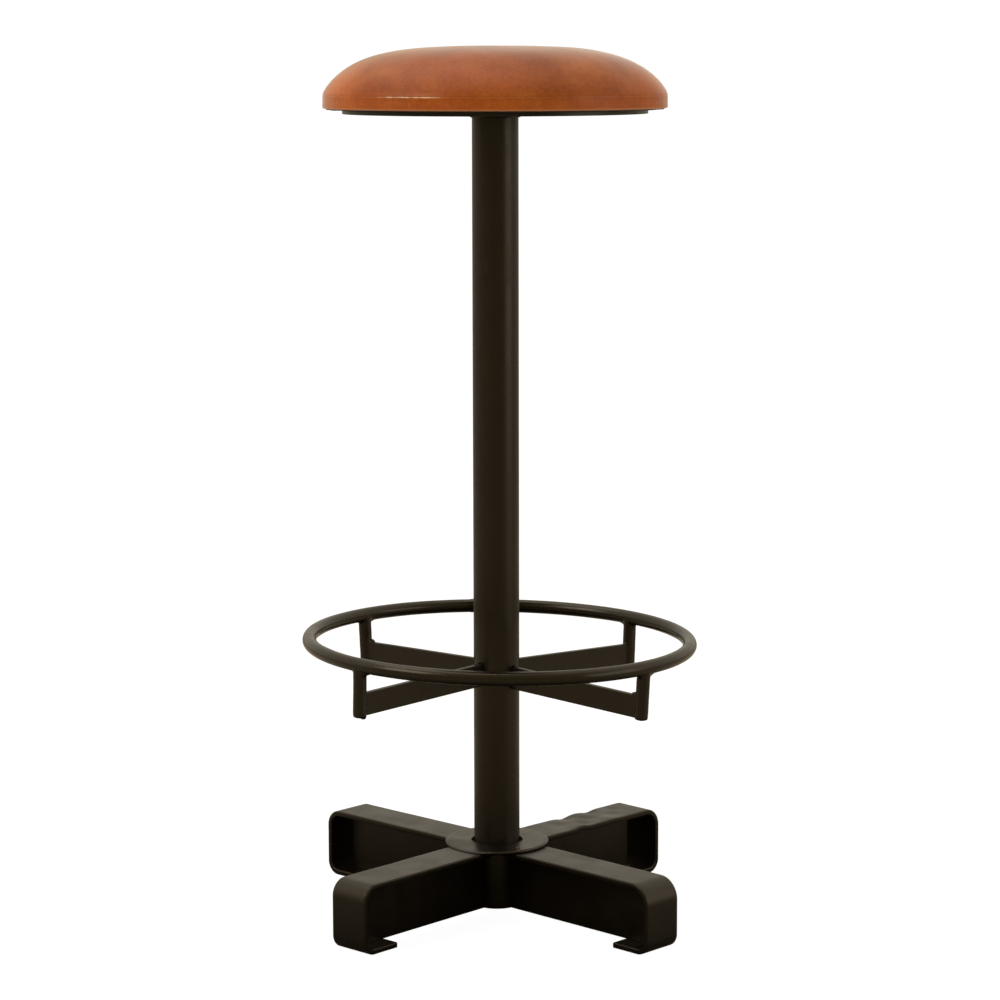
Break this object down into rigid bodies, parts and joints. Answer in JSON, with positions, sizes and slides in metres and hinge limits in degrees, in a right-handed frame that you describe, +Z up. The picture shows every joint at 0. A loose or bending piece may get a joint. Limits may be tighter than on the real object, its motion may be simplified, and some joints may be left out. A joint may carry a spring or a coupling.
{
  "type": "bar stool with footrest",
  "caption": "Tall bar stool: domed round leather seat on one steel tube, a ring footrest on short posts, and a four-armed base of bent flat bar.",
  "frame": {"origin": "on the floor, on the column's axis; the footrest ring sits 3 mm off that axis", "axes": "+Z up along the column; the stool's front is at -Y and its four arms stand on the diagonals"},
  "size_m": [0.3655, 0.3656, 0.802],
  "materials": {
    "leather": "tan, waxed, satin",
    "foam": "open-cell foam",
    "plywood": "raw plywood",
    "dust_cloth": "black non-woven cloth",
    "frame_paint": "very dark brown-black satin paint",
    "fastener_steel": "zinc plated",
    "felt_pad": "dark pressed felt"
  },
  "bodies": {
    "root": {"seat_cover": "leather", "seat_foam": "foam", "seat_board": "plywood", "tee_nuts": "fastener_steel", "staples": "fastener_steel", "dust_cover": "dust_cloth", "seat_plate": "frame_paint", "seat_screws": "fastener_steel", "column_tube": "frame_paint", "collar_disc": "frame_paint", "footrest_ring": "frame_paint", "footrest_post_front_right": "frame_paint", "footrest_arm_front_right": "frame_paint", "base_strap_front_right": "frame_paint", "base_web_front_right": "frame_paint", "floor_pad_front_right": "felt_pad", "footrest_post_rear_right": "frame_paint", "footrest_arm_rear_right": "frame_paint", "base_strap_rear_right": "frame_paint", "base_web_rear_right": "frame_paint", "floor_pad_rear_right": "felt_pad", "footrest_post_rear_left": "frame_paint", "footrest_arm_rear_left": "frame_paint", "base_strap_rear_left": "frame_paint", "base_web_rear_left": "frame_paint", "floor_pad_rear_left": "felt_pad", "footrest_post_front_left": "frame_paint", "footrest_arm_front_left": "frame_paint", "base_strap_front_left": "frame_paint", "base_web_front_left": "frame_paint", "floor_pad_front_left": "felt_pad"}
  },
  "joints": []
}
